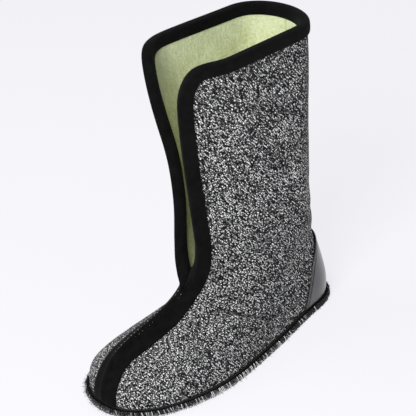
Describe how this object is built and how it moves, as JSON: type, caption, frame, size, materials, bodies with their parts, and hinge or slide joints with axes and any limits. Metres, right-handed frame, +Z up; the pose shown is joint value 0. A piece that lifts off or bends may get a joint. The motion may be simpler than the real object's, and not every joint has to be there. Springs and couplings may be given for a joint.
{
  "type": "boot liner",
  "caption": "Left felt boot liner with a tall open shaft, a tape-bound collar and front slit, a heel patch and an overlocked felt sole.",
  "frame": {"origin": "on the floor, at the middle of the heel's flat spot", "axes": "+Z up, -Y towards the toe, +X towards the wearer's left, the outer side of this left foot"},
  "size_m": [0.1225, 0.2954, 0.3218],
  "materials": {
    "upper": "matte felt faced with foil-flecked cloth",
    "sole": "matte felt",
    "insole": "matte fleece",
    "overlock_seam": "matte thread",
    "collar_binding": "matte tape",
    "front_band": "matte tape",
    "heel_patch": "smooth and slightly glossy"
  },
  "bodies": {
    "root": {"upper": "upper", "sole": "sole", "insole": "insole", "overlock_seam": "overlock_seam", "collar_binding": "collar_binding", "front_band": "front_band", "heel_patch": "heel_patch"}
  },
  "joints": []
}
